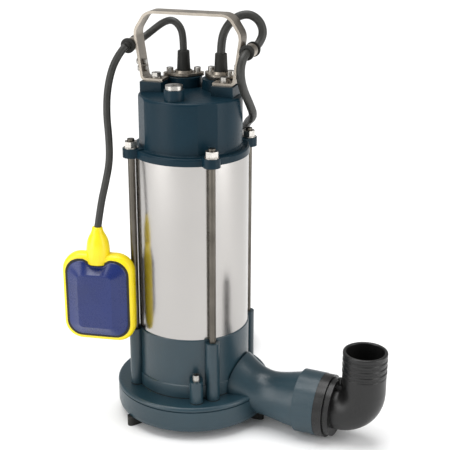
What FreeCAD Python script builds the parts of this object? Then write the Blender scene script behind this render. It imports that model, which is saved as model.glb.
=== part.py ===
import FreeCAD, Part
import Sketcher
import math
import os
import re

# A submersible pump with a float switch: a stainless motor shell held by four tie rods between a cast
# top cover and a cast oil housing, on a ring-shaped volute with a level discharge neck.
# Millimetres. The origin is on the motor axis at floor level, +Z up, +X along the discharge neck.

Vector = FreeCAD.Vector
UP = Vector(0, 0, 1)
doc = FreeCAD.newDocument("SubmersiblePump")
sheet = doc.addObject("Spreadsheet::Sheet", "Sizes")

SIZES = {
    # casings, from the floor up
    "foot_circle": 88, "foot_radius": 4.5, "foot_top": 12,
    "volute_radius": 90, "casing_bore": 60.2,
    "seat_level": 42, "chamber_low": 20, "chamber_high": 36, "chamber_radius": 82,
    "plate_radius": 61.9, "plate_low": 10, "plate_high": 19, "suction_radius": 28,
    "gasket_thick": 1, "band_radius": 67.2, "band_top": 58,
    "housing_radius": 66, "housing_bore": 58, "housing_top": 115.7,
    "shell_radius": 65, "shell_wall": 2, "shell_top": 319.3,
    "flange_radius": 66, "flange_top": 327.9, "cover_radius": 57.9, "cover_top": 386,
    # tie rods
    "rod_circle": 69.5, "rod_radius": 4, "rod_low": 70, "rod_top": 340, "ear_top": 329.5,
    "nut_height": 6.5, "nut_corner": 7.5, "washer_thick": 1.2, "washer_radius": 8.2,
    "housing_bolt_circle": 74, "housing_bolt_radius": 2.5, "lug_radius": 7.6, "lug_top": 69,
    # discharge
    "neck_level": 37, "neck_bore": 22, "collar_start": 139.8, "collar_end": 165, "collar_radius": 36.4,
    "ring_end": 175.7, "elbow_reach": 213.5, "elbow_bend": 27, "elbow_radius": 23.3, "elbow_bore": 21.3,
    "tail_top": 114, "barb_radius": 25.2, "barb_root": 24.3,
    # rotating parts
    "shaft_radius": 8, "bearing_shaft": 10, "rotor_radius": 37.5, "stator_bore": 38,
    "rotor_low": 165, "rotor_high": 265, "impeller_radius": 55,
    "lower_bearing_z": 109, "upper_bearing_z": 298, "bearing_width": 12,
    # top of the cover
    "pad_top": 397.5, "gland_top": 399, "gland_boss": 21, "sleeve_top": 427,
    "plug_level": 400, "plug_boss": 11,
    # handle, set at a small angle to the neck
    "handle_angle": 6, "strip_thick": 3, "strip_width": 20, "leg_reach": 60, "handle_top": 474.5,
    "clip_reach": 68.3, "clip_level": 435.6, "clip_length": 25.4,
    # float
    "view_turn": 26.6, "float_turn": 13.6, "float_width": 83.5, "float_thick": 18, "float_depth": 42,
    "float_low": 104.6, "float_top": 209.7, "face_half": 36, "face_margin": 6.5, "panel_half": 20,
    "float_cord": 8.2, "power_cord": 9.4,
    # stored cord
    "coil_away": 176, "coil_middle": 56, "coil_band": 40, "coil_height": 52,
}
for row, (alias, number) in enumerate(SIZES.items(), start=1):
    sheet.set(f"A{row}", alias)
    sheet.set(f"B{row}", str(number))
    sheet.setAlias(f"B{row}", alias)
doc.recompute()

nodes = []


def bound(text):
    """An expression in the sheet's words, as another object has to write it."""
    functions = ("sin", "cos", "tan")
    return re.sub(r"[a-z_]{3,}", lambda word: word.group() if word.group() in functions
                  else "Sizes." + word.group(), text)


def size(text):
    return float(sheet.evalExpression(text))


def tie(item, **sizes):
    """Bind properties to expressions; x, y, z and turn stand for parts of the placement."""
    places = {"x": "Placement.Base.x", "y": "Placement.Base.y", "z": "Placement.Base.z"}
    for name, text in sizes.items():
        item.setExpression(places.get(name, name), bound(text))
    return item


def keep(item, label):
    item.Label = label
    nodes.append(item)
    return item


def helper_name():
    return f"work_{len(doc.Objects)}"


# ---------------------------------------------------------------- parametric building blocks

def plane(body, role):
    return next(item for item in body.Origin.OriginFeatures if item.Role == role)


def outline(body, role, corners):
    """A closed sketch of straight sides on one of the body's planes, each corner bound to the sheet."""
    sketch = body.newObject("Sketcher::SketchObject", helper_name())
    sketch.AttachmentSupport = [(plane(body, role), "")]
    sketch.MapMode = "FlatFace"
    points = [Vector(size(across), size(up), 0) for across, up in corners]
    count = len(points)
    for index in range(count):
        sketch.addGeometry(Part.LineSegment(points[index], points[(index + 1) % count]), False)
    for index in range(count):
        sketch.addConstraint(Sketcher.Constraint("Coincident", index, 2, (index + 1) % count, 1))
    for index, (across, up) in enumerate(corners):
        for kind, text, value in (("DistanceX", across, points[index].x), ("DistanceY", up, points[index].y)):
            number = sketch.addConstraint(Sketcher.Constraint(kind, -1, 1, index, 1, value))
            sketch.setExpression(f"Constraints[{number}]", bound(text))
    return sketch


def turned(label, corners, rounds=()):
    """A body turned about Z from (radius, height) corners, with chosen rims rounded."""
    body = doc.addObject("PartDesign::Body", helper_name())
    sketch = outline(body, "XZ_Plane", corners)
    turn = body.newObject("PartDesign::Revolution", helper_name())
    turn.Profile = sketch
    turn.ReferenceAxis = (sketch, ["V_Axis"])
    turn.Angle = 360
    doc.recompute()
    for radius, height, fillet in rounds:
        last = body.Tip
        rims = []
        for number, edge in enumerate(last.Shape.Edges, start=1):
            curve = edge.Curve
            if isinstance(curve, Part.Circle) and abs(curve.Radius - size(radius)) < 0.01 \
                    and abs(curve.Center.z - size(height)) < 0.01:
                rims.append(f"Edge{number}")
        soft = body.newObject("PartDesign::Fillet", helper_name())
        soft.Base = (last, rims)
        soft.Radius = fillet
        doc.recompute()
    return keep(body, label) if label else body


def ring(label, inner, outer, low, high, rounds=()):
    return turned(label, [(inner, low), (outer, low), (outer, high), (inner, high)], rounds)


def cylinder(radius, low, height, x="0", y="0"):
    rod = doc.addObject("Part::Cylinder", helper_name())
    return tie(rod, Radius=radius, Height=height, x=x, y=y, z=low)


def level_cylinder(radius, start, length, level="neck_level"):
    """A cylinder along +X from x = start, at the neck's height."""
    rod = doc.addObject("Part::Cylinder", helper_name())
    rod.Placement.Rotation = FreeCAD.Rotation(Vector(0, 1, 0), 90)
    return tie(rod, Radius=radius, Height=length, x=start, z=level)


def prism(corner, low, height, x="0", y="0"):
    nut = doc.addObject("Part::Prism", helper_name())
    nut.Polygon = 6
    return tie(nut, Circumradius=corner, Height=height, x=x, y=y, z=low)


def box(length, width, height, x, y, z, turn=0):
    block = doc.addObject("Part::Box", helper_name())
    block.Placement.Rotation = FreeCAD.Rotation(UP, turn)
    return tie(block, Length=length, Width=width, Height=height, x=x, y=y, z=z)


def fuse(parts, label=None):
    joined = doc.addObject("Part::MultiFuse", helper_name())
    joined.Shapes = parts
    joined.Refine = True
    return keep(joined, label) if label else joined


def cut(base, tool, label=None):
    rest = doc.addObject("Part::Cut", helper_name())
    rest.Base = base
    rest.Tool = tool
    return keep(rest, label) if label else rest


def group(parts, label):
    together = doc.addObject("Part::Compound", helper_name())
    together.Links = parts
    return keep(together, label)


def around(circle, angles):
    """Places on a circle about the motor axis, as pairs of expressions."""
    return [(f"{circle} * cos({angle})", f"{circle} * sin({angle})") for angle in angles]


ROD_ANGLES = (45, 135, 225, 315)
HOUSING_BOLT_ANGLES = (59, 179, 299)
FOOT_ANGLES = (0, 120, 240)
rod_places = around("rod_circle", ROD_ANGLES)
bolt_places = around("housing_bolt_circle", HOUSING_BOLT_ANGLES)

# ---------------------------------------------------------------- free shapes


def feature(shape, label, place=None):
    """A node whose shape neither sketches nor primitives fit: sweeps and rounded blocks."""
    item = doc.addObject("Part::Feature", helper_name())
    item.Shape = shape
    item.Placement = place or FreeCAD.Placement()
    return keep(item, label)


def bent_path(points, radii=None, share=0.45):
    """Straight runs joined by tangent arcs; returns the wire and the radii of its arcs."""
    edges = []
    used = []
    start = points[0]
    for index in range(1, len(points) - 1):
        before, corner, after = points[index - 1:index + 2]
        back = (before - corner)
        ahead = (after - corner)
        half_turn = (math.pi - back.getAngle(ahead)) / 2
        reach = share * min(back.Length, ahead.Length)
        if radii:
            reach = radii[index - 1] * math.tan(half_turn)
        radius = reach / math.tan(half_turn)
        back.normalize()
        ahead.normalize()
        first = corner + back * reach
        last = corner + ahead * reach
        inward = back + ahead
        inward.normalize()
        middle = corner + inward * (radius / math.cos(half_turn) - radius)
        edges.append(Part.LineSegment(start, first).toShape())
        edges.append(Part.Arc(first, middle, last).toShape())
        used.append(radius)
        start = last
    edges.append(Part.LineSegment(start, points[-1]).toShape())
    return Part.Wire(edges), used


def tube(points, diameter):
    path, radii = bent_path(points)
    along = points[1] - points[0]
    profile = Part.Wire([Part.makeCircle(diameter / 2, points[0], along)])
    solid = path.makePipeShell([profile], True, False)
    expected = math.pi * diameter ** 2 / 4 * path.Length
    print(f"cord {path.Length:.1f} mm, least radius {min(radii):.1f} mm,",
          f"volume ratio {solid.Volume / expected:.4f}")
    return solid


def at_handle(along, aside, height):
    """A point in the handle's own directions: along its span, aside from it, and up."""
    turn = math.radians(size("handle_angle"))
    return Vector(along * math.cos(turn) - aside * math.sin(turn),
                  along * math.sin(turn) + aside * math.cos(turn), height)


def behind(across, away, height):
    """A point in the stored coil's directions: across, and away from the motor axis."""
    turn = math.radians(size("view_turn"))
    return Vector(across * math.cos(turn) - away * math.sin(turn),
                  across * math.sin(turn) + away * math.cos(turn), height)


def handle_place():
    return FreeCAD.Placement(Vector(), FreeCAD.Rotation(UP, size("handle_angle")))


# ---------------------------------------------------------------- base and volute

def neck_loft():
    """The outlet's neck as one solid, drawn through ellipses from inside the casing out to the collar."""
    sections = []
    for x, level, wide, high in (("55", "45", "32", "36"), ("82", "40", "28", "29.5"),
                                 ("97", "36.6", "26.4", "26.8"), ("113", "35.6", "28", "28.4"),
                                 ("128", "36", "31.2", "31.2"),
                                 ("collar_start", "neck_level", "33.4", "33.4")):
        section = doc.addObject("Part::Ellipse", helper_name())
        major, minor, spin = (wide, high, 0) if size(wide) > size(high) else (high, wide, 90)
        flat = FreeCAD.Rotation(Vector(0, 1, 0), 90).multiply(FreeCAD.Rotation(UP, 90 - spin))
        section.Placement.Rotation = flat
        sections.append(tie(section, MajorRadius=major, MinorRadius=minor, x=x, z=level))
    neck = doc.addObject("Part::Loft", helper_name())
    neck.Sections = sections
    neck.Solid = True
    return neck


def make_feet(neck):
    """Short ribs that stand under the rim and point outwards; the one under the neck is shaped to it."""
    feet = []
    for angle, (x, y) in zip(FOOT_ANGLES, around("foot_circle", FOOT_ANGLES)):
        rib = box("foot_circle - 75", "2 * foot_radius", "foot_top",
                  f"75 * cos({angle}) + foot_radius * sin({angle})",
                  f"75 * sin({angle}) - foot_radius * cos({angle})", "0", angle)
        foot = fuse([rib, cylinder("foot_radius", "0", "foot_top", x, y)])
        feet.append(cut(foot, neck))
    group(feet, "feet")


def make_volute(neck):
    """A ring-shaped casing with a groove under its rounded rim, and the neck and collar of its outlet."""
    casing = turned(None, [
        ("62", "foot_top"), ("volute_radius - 1", "foot_top"), ("volute_radius", "foot_top + 4"),
        ("volute_radius", "seat_level - 6"), ("volute_radius - 1.2", "seat_level - 5.4"),
        ("volute_radius - 1.2", "seat_level - 4.8"), ("volute_radius + 0.3", "seat_level - 4.2"),
        ("volute_radius + 0.3", "seat_level"), ("casing_bore", "seat_level"),
        ("casing_bore", "chamber_high"), ("chamber_radius", "chamber_high"),
        ("chamber_radius", "chamber_low"), ("62", "chamber_low")],
        [("volute_radius + 0.3", "seat_level", 3.4)])
    clearing = fuse([cylinder("band_radius + 0.8", "seat_level", "60")]
                    + [cylinder("8.5", "seat_level", "60", x, y) for x, y in rod_places]
                    + [cylinder("lug_radius + 0.5", "seat_level", "60", x, y) for x, y in bolt_places])
    under = cylinder("chamber_radius", "0", "seat_level")
    outside = cut(cut(neck, clearing), under)
    collar = level_cylinder("collar_radius", "collar_start", "collar_end - collar_start")
    body = fuse([casing, outside, collar])
    passage = level_cylinder("neck_bore", "76", "100")
    recess = level_cylinder("30", "collar_end - 2", "10")
    screws = []
    for x, y in bolt_places:
        screws.append(cylinder("housing_bolt_radius + 0.05", "chamber_high + 1.5", "20", x, y))
    cut(body, fuse([passage, recess] + screws), "volute_casing")


def make_suction_side():
    plate = ring(None, "suction_radius", "plate_radius", "plate_low", "plate_high",
                 [("suction_radius", "plate_low", 3)])
    places = around("54", (30, 150, 270))
    holes = fuse([cylinder("2.55", "0", "60", x, y) for x, y in places])
    cut(plate, holes, "suction_plate")
    parts = []
    for x, y in places:
        shank = cylinder("2.5", "plate_low - 1", "9.5", x, y)
        parts.append(fuse([shank, prism("5", "plate_low - 4", "4", x, y)]))
    group(parts, "suction_screws")


def make_lower_housing():
    """The oil chamber: a cast cup with four tie-rod bosses and three bolt lugs."""
    cup = turned(None, [
        ("14", "seat_level - 3"), ("casing_bore - 0.2", "seat_level - 3"),
        ("casing_bore - 0.2", "seat_level + gasket_thick"), ("band_radius", "seat_level + gasket_thick"),
        ("band_radius", "band_top"), ("housing_radius", "band_top + 1"),
        ("housing_radius", "housing_top"), ("housing_bore", "housing_top"),
        ("housing_bore", "seat_level + 15"), ("24", "seat_level + 15"), ("24", "seat_level + 24"),
        ("14", "seat_level + 24")], [("housing_radius", "housing_top", 1.5)])
    bosses = [cylinder("8", "seat_level + gasket_thick", "housing_top - seat_level - 3.5", x, y)
              for x, y in rod_places]
    lugs = []
    for angle, (x, y) in zip(HOUSING_BOLT_ANGLES, bolt_places):
        lugs.append(cylinder("lug_radius", "seat_level + gasket_thick", "lug_top - seat_level - 1", x, y))
        web = box("14", "2 * lug_radius", "lug_top - seat_level - 1",
                  f"60 * cos({angle}) + lug_radius * sin({angle})",
                  f"60 * sin({angle}) - lug_radius * cos({angle})", "seat_level + gasket_thick", angle)
        lugs.append(web)
    body = fuse([cup] + bosses + lugs)
    holes = [cylinder("rod_radius + 0.05", "rod_low", "60", x, y) for x, y in rod_places]
    holes += [cylinder("housing_bolt_radius + 0.05", "40", "40", x, y) for x, y in bolt_places]
    cut(body, fuse(holes), "lower_housing")


def make_joints_of_casings():
    washer = ring(None, "casing_bore + 0.3", "band_radius", "seat_level", "seat_level + gasket_thick")
    tabs = [cylinder("8", "seat_level", "gasket_thick", x, y) for x, y in rod_places]
    tabs += [cylinder("lug_radius", "seat_level", "gasket_thick", x, y) for x, y in bolt_places]
    flat = cut(fuse([washer] + tabs), cylinder("casing_bore + 0.3", "seat_level - 1", "5"))
    holes = [cylinder("housing_bolt_radius + 0.05", "40", "20", x, y) for x, y in bolt_places]
    cut(flat, fuse(holes), "volute_gasket")
    bolts = []
    for x, y in bolt_places:
        shank = cylinder("housing_bolt_radius", "chamber_high + 2", "lug_top - chamber_high", x, y)
        head = cylinder("4.2", "lug_top", "8", x, y)
        bolts.append(cut(fuse([shank, head]), prism("2.2", "lug_top + 4.5", "10", x, y)))
    group(bolts, "housing_bolts")
    rings = []
    for level in ("housing_top + 5", "shell_top - 5"):
        loop = doc.addObject("Part::Torus", helper_name())
        rings.append(tie(loop, Radius1="shell_radius - shell_wall - 1.4", Radius2="1.3", z=level))
    group(rings, "shell_seal_rings")


def groove(level):
    """The outline of a seal groove in a bracket's rim, from below to above."""
    bottom = "shell_radius - shell_wall - 2.9"
    rim = "shell_radius - shell_wall - 0.1"
    return [(rim, f"{level} - 1.5"), (bottom, f"{level} - 1.5"),
            (bottom, f"{level} + 1.5"), (rim, f"{level} + 1.5")]


def make_brackets():
    """Two bearing brackets that also seal the ends of the shell."""
    turned("lower_bracket", [
        ("11", "lower_bearing_z - 9"), ("25", "lower_bearing_z - 9"), ("25", "housing_top - 4"),
        ("housing_bore - 0.2", "housing_top - 4"), ("housing_bore - 0.2", "housing_top")]
        + [("shell_radius - shell_wall - 0.1", "housing_top")] + groove("(housing_top + 5)")
        + [("shell_radius - shell_wall - 0.1", "housing_top + 9"), ("22.05", "housing_top + 9"),
           ("22.05", "lower_bearing_z - 6"), ("11", "lower_bearing_z - 6")])
    turned("upper_bracket", [
        ("20", "upper_bearing_z - 6"), ("24", "upper_bearing_z - 6"), ("24", "shell_top - 10"),
        ("shell_radius - shell_wall - 0.1", "shell_top - 10")] + groove("(shell_top - 5)")
        + [("shell_radius - shell_wall - 0.1", "shell_top"), ("11", "shell_top"),
           ("11", "upper_bearing_z + 6.05"), ("20", "upper_bearing_z + 6.05")])


def make_shell_and_rods():
    ring("motor_shell", "shell_radius - shell_wall", "shell_radius", "housing_top", "shell_top")
    rods = [cylinder("rod_radius", "rod_low", "rod_top - rod_low", x, y) for x, y in rod_places]
    group(rods, "tie_rods")
    washers = []
    nuts = []
    for x, y in rod_places:
        hole = cylinder("rod_radius + 0.05", "ear_top - 5", "30", x, y)
        washers.append(cut(cylinder("washer_radius", "ear_top", "washer_thick", x, y), hole))
        nuts.append(cut(prism("nut_corner", "ear_top + washer_thick", "nut_height", x, y), hole))
    group(washers, "tie_rod_washers")
    group(nuts, "tie_rod_nuts")


# ---------------------------------------------------------------- top cover

GLANDS = {"float": (-17.8, 27.0, 28), "power": (27.6, 23.7, -22)}
PLUG_PLACE = (2.0, -42.6)


def handle_shoe(side):
    """The room that a foot of the handle takes above its pad."""
    corner = at_handle(side * 41.5 - 13.5, -10.3, 0)
    return box("27", "20.6", "12", str(corner.x), str(corner.y), "pad_top", size("handle_angle"))


def make_top_cover():
    """A cast cap with a flange and four ears, hollow inside, and bosses for all that it carries."""
    shell = turned(None, [
        ("52", "shell_top"), ("flange_radius", "shell_top"), ("flange_radius", "flange_top"),
        ("cover_radius", "flange_top"), ("cover_radius", "cover_top"), ("0", "cover_top + 2.5"),
        ("0", "cover_top - 7"), ("50", "cover_top - 9"), ("52", "cover_top - 12")],
        [("cover_radius", "cover_top", 3.5), ("flange_radius", "flange_top", 2.5),
         ("cover_radius", "flange_top", 2)])
    parts = [shell]
    for angle, (x, y) in zip(ROD_ANGLES, rod_places):
        parts.append(cylinder("9.5", "shell_top", "ear_top - shell_top", x, y))
        parts.append(box("16", "19", "ear_top - shell_top", f"54 * cos({angle}) + 9.5 * sin({angle})",
                         f"54 * sin({angle}) - 9.5 * cos({angle})", "shell_top", angle))
    turn = size("handle_angle")
    for side in (-1, 1):
        corner = at_handle(side * 41.5 - 12.5, -15, 0)
        parts.append(box("25", "30", "pad_top - cover_top + 3", str(corner.x), str(corner.y),
                         "cover_top - 3", turn))
    for along, aside, spin in GLANDS.values():
        place = at_handle(along, aside, 0)
        parts.append(cylinder("gland_boss", "cover_top - 3", "gland_top - cover_top + 3",
                              str(place.x), str(place.y)))
    x, y = (str(value) for value in PLUG_PLACE)
    parts.append(cylinder("plug_boss", "cover_top - 8", "plug_level - cover_top + 6", x, y))
    trim = ring(None, "cover_radius", "cover_radius + 12", "flange_top + 5", "plug_level + 20")
    flats = [box("12", "40", "90", f"56.8 * cos({angle}) + 20 * sin({angle})",
                 f"56.8 * sin({angle}) - 20 * cos({angle})", "flange_top + 1.5", angle)
             for angle in ROD_ANGLES]
    shoes = [handle_shoe(side) for side in (-1, 1)]
    body = cut(fuse(parts), fuse([trim] + flats + shoes))
    holes = [cylinder("rod_radius + 0.05", "shell_top - 5", "30", x, y) for x, y in rod_places]
    holes.append(cylinder("6", "cover_top - 20", "40", x, y))
    for along, aside, spin in GLANDS.values():
        place = at_handle(along, aside, 0)
        holes.append(cylinder("9", "cover_top - 20", "60", str(place.x), str(place.y)))
        for end in (-15.5, 15.5):
            spot = place + Vector(end * math.cos(math.radians(spin)), end * math.sin(math.radians(spin)), 0)
            holes.append(cylinder("2.55", "gland_top - 9", "20", str(spot.x), str(spot.y)))
    for side in (-1, 1):
        spot = at_handle(side * 40, 0, 0)
        holes.append(cylinder("3.05", "pad_top - 12", "20", str(spot.x), str(spot.y)))
    cut(body, fuse(holes), "top_cover")
    head = fuse([cylinder("9.5", "plug_level - 2", "4.5", x, y),
                 cylinder("5.9", "plug_level - 15", "14.5", x, y)])
    cut(head, prism("4", "plug_level - 0.5", "9", x, y), "filler_plug")


def oval(length, width, low, high, place, spin):
    """A two-bolt gland plate: a rhombus with round ends, as a hull of three discs."""
    turn = FreeCAD.Rotation(UP, spin)
    end_radius = 7
    middle = width / 2
    reach = length / 2 - end_radius
    lean = math.acos((middle - end_radius) / reach)
    corners = []
    for quarter, side in ((1, 1), (-1, 1), (-1, -1), (1, -1)):
        direction = Vector(quarter * math.cos(lean), side * math.sin(lean), 0)
        outer = Vector(quarter * reach, 0, 0) + direction * end_radius
        inner = direction * middle
        corners += [outer, inner] if quarter * side > 0 else [inner, outer]
    hull = Part.Face(Part.makePolygon(corners + [corners[0]])).extrude(Vector(0, 0, high - low))
    solid = hull.fuse([Part.makeCylinder(end_radius, high - low, Vector(end * reach, 0, 0))
                       for end in (-1, 1)] + [Part.makeCylinder(middle, high - low)])
    solid = solid.removeSplitter()
    solid.Placement = FreeCAD.Placement(Vector(place.x, place.y, low), turn)
    return solid


def make_glands():
    """Oval plates that squeeze each cord's rubber sleeve, with a gasket under each and two screws."""
    gaskets = []
    sleeves = []
    screws = []
    base = size("gland_top")
    for name, (along, aside, spin) in GLANDS.items():
        place = at_handle(along, aside, 0)
        cord = size(f"{name}_cord") / 2
        ends = [place + Vector(end * math.cos(math.radians(spin)), end * math.sin(math.radians(spin)), 0)
                for end in (-15.5, 15.5)]
        bores = [Part.makeCylinder(2.55, 30, Vector(spot.x, spot.y, base - 10)) for spot in ends]
        centre = Part.makeCylinder(8.2, 40, Vector(place.x, place.y, base - 10))
        thick = 1.2 if name == "float" else 3.2
        gasket = oval(46, 31, base, base + thick, place, spin).cut([centre] + bores)
        for side in (-1, 1):
            foot = Part.makeBox(27.4, 21, 12, Vector(side * 41.5 - 13.7, -10.5, base - 4))
            foot.Placement = handle_place().multiply(foot.Placement)
            gasket = gasket.cut(foot)
        gaskets.append(gasket)
        low = base + thick
        plate = oval(46, 30, low, low + 2.2, place, spin)
        collar = Part.makeCone(11, 9.6, 4, Vector(place.x, place.y, low + 1))
        plate = plate.fuse(collar).cut([centre] + bores).removeSplitter()
        feature(plate, f"{name}_gland_plate")
        sleeve = Part.makeCone(8.15, 6.6, size("sleeve_top") - base + 4, Vector(place.x, place.y, base - 4))
        sleeve = sleeve.makeFillet(1, [e for e in sleeve.Edges if e.BoundBox.ZMin > base + 10])
        sleeves.append(sleeve.cut(Part.makeCylinder(cord, 60, Vector(place.x, place.y, base - 20))))
        for spot in ends:
            shank = Part.makeCylinder(2.5, 10.5 + thick, Vector(spot.x, spot.y, base - 7))
            washer = Part.makeCylinder(4.6, 0.8, Vector(spot.x, spot.y, low + 2.2))
            head = Part.makeCylinder(4, 5, Vector(spot.x, spot.y, low + 3))
            head = head.makeFillet(0.8, [e for e in head.Edges if e.BoundBox.ZMin > low + 7])
            socket = Part.makeCylinder(2, 3, Vector(spot.x, spot.y, low + 5.5))
            screws.append(shank.fuse([washer, head]).cut(socket).removeSplitter())
    feature(Part.makeCompound(gaskets), "gland_gaskets")
    feature(sleeves[0], "float_cord_sleeve")
    feature(sleeves[1], "power_cord_sleeve")
    feature(Part.makeCompound(screws), "gland_screws")


# ---------------------------------------------------------------- handle and cord clips

def make_handle():
    """One flat strip bent into a hoop: feet inwards on the pads, legs leaning out, rounded top."""
    half = size("strip_thick") / 2
    foot = size("pad_top") + half
    top = size("handle_top") - half
    reach = size("leg_reach")
    side = [Vector(29, 0, foot), Vector(53, 0, foot), Vector(reach + 1, 0, 452), Vector(47.5, 0, top)]
    points = side + [Vector(-p.x, 0, p.z) for p in reversed(side)]
    path, radii = bent_path(points, (4.5, 16, 15, 15, 16, 4.5))
    width = size("strip_width") / 2
    corners = [Vector(29, -width, foot - half), Vector(29, width, foot - half),
               Vector(29, width, foot + half), Vector(29, -width, foot + half)]
    profile = Part.Wire(Part.makePolygon(corners + [corners[0]]).Edges)
    strip = path.makePipeShell([profile], True, False)
    drills = [Part.makeCylinder(3.05, 20, Vector(end * 40, 0, foot - 10)) for end in (-1, 1)]
    for end in (-1, 1):
        for level in (417, 409.5):
            drills.append(Part.makeCylinder(2.05, 30, Vector(end * 42, 0, level), Vector(end, 0, 0)))
    feature(strip.cut(drills), "handle", handle_place())
    bolts = []
    for end in (-1, 1):
        shank = Part.makeCylinder(3, 14, Vector(end * 40, 0, foot + half - 12.5))
        washer = Part.makeCylinder(6.5, 1.2, Vector(end * 40, 0, foot + half))
        head = Part.Face(Part.makePolygon([Vector(end * 40 + 5.6 * math.cos(a), 5.6 * math.sin(a),
                                                  foot + half + 1.2)
                                           for a in [math.radians(60 * k) for k in range(7)]]))
        bolts.append(shank.fuse([washer, head.extrude(Vector(0, 0, 4.2))]).removeSplitter())
    feature(Part.makeCompound(bolts), "handle_bolts", handle_place())


def leg_line(height):
    """How far out the middle of a leg stands at a height."""
    foot = size("pad_top") + size("strip_thick") / 2
    return 53 + (size("leg_reach") + 1 - 53) * (height - foot) / (452 - foot)


def make_clips():
    """Each cord is held outside a leg by a rubber bush in a steel band, screwed on with two screws."""
    bushes = []
    bands = []
    screws = []
    reach = size("clip_reach")
    level = size("clip_level")
    long = size("clip_length")
    ahead = Vector(0, 1, 0)
    for end, cord in ((-1, size("float_cord")), (1, size("power_cord"))):
        middle = Vector(end * reach, 0, level)
        front = middle - ahead * (long / 2)
        bush = Part.makeCylinder(6, long, front, ahead)
        for rim in (front, middle + ahead * (long / 2 - 2.4)):
            disc = Part.makeCylinder(8.4, 2.4, rim, ahead)
            edges = [e for e in disc.Edges if isinstance(e.Curve, Part.Circle)]
            bush = bush.fuse(disc.makeFillet(0.9, edges))
        bushes.append(bush.cut(Part.makeCylinder(cord / 2, long + 2, front - ahead, ahead)).removeSplitter())
        width = 12
        band = Part.makeCylinder(7.2, width, middle - ahead * (width / 2), ahead)
        low = leg_line(405) + 1.6
        high = leg_line(level + 2) + 1.6
        tab = Part.Face(Part.makePolygon([Vector(end * x, -width / 2, z) for x, z in (
            (low, 405), (low + 1.3, 405), (high + 1.3, level + 2), (high, level + 2), (low, 405))]))
        tab = tab.extrude(ahead * width)
        band = band.fuse(tab).cut(Part.makeCylinder(6, width + 4, middle - ahead * (width / 2 + 2), ahead))
        drills = [Part.makeCylinder(2.05, 30, Vector(end * 42, 0, z), Vector(end, 0, 0))
                  for z in (417, 409.5)]
        bands.append(band.cut(drills).removeSplitter())
        for z in (417, 409.5):
            inside = leg_line(z) - 1.5
            start = Vector(end * (inside - 3), 0, z)
            out = Vector(end, 0, 0)
            head = Part.makeCylinder(3.4, 2.4, start, out)
            head = head.makeFillet(0.8, [e for e in head.Edges if abs(e.BoundBox.Center.x - start.x) < 0.1])
            shank = Part.makeCylinder(2, 11, start, out)
            nut = Part.makeCylinder(3.6, 2.6, start + out * 8.4, out)
            screws.append(head.fuse([shank, nut]).removeSplitter())
    feature(Part.makeCompound(bushes), "clip_bushes", handle_place())
    feature(Part.makeCompound(bands), "clip_bands", handle_place())
    feature(Part.makeCompound(screws), "clip_screws", handle_place())


# ---------------------------------------------------------------- discharge fitting

def make_discharge():
    """A loose ring screwed to the collar holds the elbow's lip, so that the elbow can be swung round."""
    gasket = level_cylinder("29.6", "collar_end - 2", "2")
    cut(gasket, level_cylinder("neck_bore", "collar_end - 5", "12"), "discharge_gasket")
    outer = level_cylinder("collar_radius - 0.4", "collar_end", "ring_end - collar_end")
    pocket = level_cylinder("31", "collar_end - 5", "11.2")
    throat = level_cylinder("28.05", "collar_end", "30")
    cut(outer, fuse([pocket, throat]), "lock_ring")
    lip = level_cylinder("30.95", "collar_end + 0.05", "6")
    leg = level_cylinder("28", "collar_end + 0.05", "ring_end - collar_end + 1")
    rim = level_cylinder("33.5", "ring_end + 0.3", "6.5")
    run = level_cylinder("elbow_radius + 1.5", "ring_end", "elbow_reach - elbow_bend - ring_end")
    bend = doc.addObject("Part::Torus", helper_name())
    bend.Angle3 = 90
    bend.Placement.Rotation = FreeCAD.Rotation(Vector(1, 0, 0), 90).multiply(FreeCAD.Rotation(UP, 270))
    tie(bend, Radius1="elbow_bend", Radius2="elbow_radius + 1.5", x="elbow_reach - elbow_bend",
        z="neck_level + elbow_bend")
    inner = doc.addObject("Part::Torus", helper_name())
    inner.Angle3 = 90
    inner.Placement.Rotation = bend.Placement.Rotation
    tie(inner, Radius1="elbow_bend", Radius2="elbow_bore", x="elbow_reach - elbow_bend",
        z="neck_level + elbow_bend")
    barbs = []
    for middle in ("tail_top - 23.5", "tail_top - 16.5", "tail_top - 9.5"):
        barbs += [("barb_root", f"{middle} - 2.8"), ("barb_radius", f"{middle} - 1.8"),
                  ("barb_radius", f"{middle} + 0.8"), ("barb_root", f"{middle} + 1.8")]
    tail = turned(None, [("elbow_bore", "neck_level + elbow_bend"),
                         ("elbow_radius + 1.5", "neck_level + elbow_bend"),
                         ("elbow_radius + 1.5", "tail_top - 29"), ("barb_root", "tail_top - 28.4")] + barbs
                  + [("barb_root", "tail_top - 6"), ("barb_radius", "tail_top - 5"),
                     ("barb_radius", "tail_top"), ("elbow_bore", "tail_top")],
                  [("barb_radius", "tail_top", 1.6), ("elbow_bore", "tail_top", 1.6)])
    tie(tail, x="elbow_reach")
    lug = box("9", "11", "9", "ring_end + 6", "0 - 5.5", "neck_level + elbow_radius - 2")
    rod = doc.addObject("Part::Cylinder", helper_name())
    tie(rod, Radius="3", Height="14", x="ring_end + 10.5", z="neck_level + elbow_radius")
    bore = level_cylinder("elbow_bore", "collar_end - 5", "elbow_reach - elbow_bend - collar_end + 5")
    hollow = cut(fuse([lip, leg, rim, run, bend, lug, rod]), fuse([bore, inner]))
    fuse([hollow, tail], "discharge_elbow")


# ---------------------------------------------------------------- motor and hydraulics inside

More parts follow.
